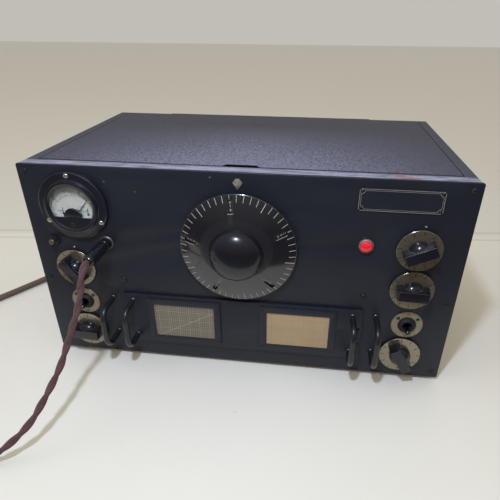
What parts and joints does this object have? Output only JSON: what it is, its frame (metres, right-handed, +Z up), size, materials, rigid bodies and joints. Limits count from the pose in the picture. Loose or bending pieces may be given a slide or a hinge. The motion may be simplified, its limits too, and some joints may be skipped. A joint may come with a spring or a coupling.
{
  "type": "communications receiver",
  "caption": "Table-top communications receiver in a black steel cabinet: geared tuning dial, hinged lid, plug-in coil set, meter, knobs and leads.",
  "frame": {"origin": "centre of the footprint on the table, without the leads", "axes": "+Z up, +X to the right as seen from the front, +Y to the back; the front panel faces -Y"},
  "size_m": [0.696, 0.5138, 0.2285],
  "materials": {
    "cabinet_paint": "satin wrinkle",
    "panel_paint": "satin fine texture",
    "black_steel": "semi-gloss",
    "bakelite": "gloss",
    "dial_black": "gloss",
    "nickel": "aged nickel",
    "scale_silver": "matt, yellowed",
    "bare_steel": "brushed",
    "aluminium": "satin",
    "cast_metal": "cast",
    "tube_glass": "clear",
    "meter_glass": "clear",
    "jewel_red": "faceted gloss",
    "card": "aged",
    "chart_card": "aged",
    "tube_base": "moulded",
    "phenolic": "laminate",
    "foot_rubber": "matt",
    "lead_cloth": "braided",
    "cable_rubber": "aged"
  },
  "bodies": {
    "cabinet": {"front_panel": "panel_paint", "cabinet_sides": "cabinet_paint", "cabinet_back": "cabinet_paint", "cabinet_bottom": "cabinet_paint", "cabinet_top_frame": "cabinet_paint", "rubber_feet": "foot_rubber", "panel_screws": "black_steel", "lid_hinge": "cabinet_paint", "chassis": "aluminium", "coil_bay": "phenolic", "gang_frame": "aluminium", "worm_gearbox": "cast_metal", "transformer_cans": "aluminium", "tube_bases": "tube_base", "tube_glass": "tube_glass", "aerial_posts": "phenolic", "index_pointer": "nickel", "panel_handles": "black_steel", "nameplate": "panel_paint", "meter_case": "bakelite", "meter_glass": "meter_glass", "meter_card": "card", "pilot_bezel": "nickel", "pilot_jewel": "jewel_red", "phone_jack": "nickel", "meter_switch_bush": "black_steel", "toggle_plates": "scale_silver", "control_bodies": "black_steel", "phone_plug": "bakelite", "phone_lead": "lead_cloth", "phone_lead_coil": "lead_cloth", "phone_connector": "bakelite", "cable_gland": "foot_rubber", "power_cable": "cable_rubber", "power_cable_coil": "cable_rubber", "power_plug": "bakelite"},
    "lid": {"lid": "cabinet_paint"},
    "condenser_rotor": {"condenser_rotor": "aluminium"},
    "needle": {"meter_needle": "bakelite"},
    "switch_plunger": {"meter_switch_plunger": "nickel"},
    "left_toggle": {"left_toggle_lever": "bare_steel"},
    "right_toggle": {"right_toggle_lever": "bare_steel"},
    "dial": {"dial_disc": "dial_black", "dial_knob": "bakelite", "dial_shaft": "bare_steel"},
    "number_ring": {"number_ring": "bakelite"},
    "coil_set": {"coil_front": "panel_paint", "coil_cans": "aluminium", "coil_handles": "black_steel", "chart_cards": "chart_card"},
    "left_mid_control": {"left_mid_scale": "scale_silver", "left_mid_knob": "bakelite"},
    "left_low_control": {"left_low_scale": "scale_silver", "left_low_knob": "bakelite"},
    "right_top_control": {"right_top_scale": "scale_silver", "right_top_knob": "bakelite"},
    "right_mid_control": {"right_mid_scale": "scale_silver", "right_mid_knob": "bakelite"},
    "right_low_control": {"right_low_scale": "scale_silver", "right_low_knob": "bakelite"}
  },
  "joints": [
    {"name": "lid_hinge_turn", "type": "hinge", "parent": "cabinet", "child": "lid", "pos_m": [0, 0.1434, 0.2259], "axis": [-1, 0, 0], "range_deg": [0, 100]},
    {"name": "coil_set_slide", "type": "slide", "parent": "cabinet", "child": "coil_set", "axis": [0, -1, 0], "range_m": [0, 0.1]},
    {"name": "dial_turn", "type": "hinge", "parent": "cabinet", "child": "dial", "pos_m": [0, -0.1175, 0.152], "axis": [0, 1, 0], "range_deg": [-2080, 1520]},
    {"name": "number_ring_turn", "type": "hinge", "parent": "cabinet", "child": "number_ring", "pos_m": [0, -0.1175, 0.152], "axis": [0, 1, 0], "range_deg": [-2040, 1490]},
    {"name": "condenser_turn", "type": "hinge", "parent": "cabinet", "child": "condenser_rotor", "pos_m": [0, -0.0675, 0.1275], "axis": [1, 0, 0], "range_deg": [-104.5, 76.5]},
    {"name": "needle_turn", "type": "hinge", "parent": "cabinet", "child": "needle", "pos_m": [-0.166, -0.1197, 0.1765], "axis": [0, 1, 0], "range_deg": [-85, 5], "stiffness_Nm_per_rad": 0.0001},
    {"name": "meter_switch_slide", "type": "slide", "parent": "cabinet", "child": "switch_plunger", "axis": [0, -1, 0], "range_m": [0, 0.004]},
    {"name": "left_toggle_turn", "type": "hinge", "parent": "cabinet", "child": "left_toggle", "pos_m": [-0.176, -0.1159, 0.073], "axis": [-1, 0, 0], "range_deg": [0, 25]},
    {"name": "right_toggle_turn", "type": "hinge", "parent": "cabinet", "child": "right_toggle", "pos_m": [0.176, -0.1159, 0.073], "axis": [-1, 0, 0], "range_deg": [0, 25]},
    {"name": "left_mid_turn", "type": "hinge", "parent": "cabinet", "child": "left_mid_control", "pos_m": [-0.178, -0.1175, 0.116], "axis": [0, 1, 0], "range_deg": [-210, 90]},
    {"name": "left_low_turn", "type": "hinge", "parent": "cabinet", "child": "left_low_control", "pos_m": [-0.178, -0.1175, 0.0345], "axis": [0, 1, 0], "range_deg": [-90, 210]},
    {"name": "right_top_turn", "type": "hinge", "parent": "cabinet", "child": "right_top_control", "pos_m": [0.174, -0.1175, 0.1605], "axis": [0, 1, 0], "range_deg": [-90, 90]},
    {"name": "right_mid_turn", "type": "hinge", "parent": "cabinet", "child": "right_mid_control", "pos_m": [0.174, -0.1175, 0.116], "axis": [0, 1, 0], "range_deg": [-180, 120]},
    {"name": "right_low_turn", "type": "hinge", "parent": "cabinet", "child": "right_low_control", "pos_m": [0.174, -0.1175, 0.0345], "axis": [0, 1, 0], "range_deg": [-240, 60]}
  ],
  "couplings": [
    {"joint": "number_ring_turn", "follows": "dial_turn", "ratio": 0.98},
    {"joint": "condenser_turn", "follows": "dial_turn", "ratio": 0.05}
  ]
}
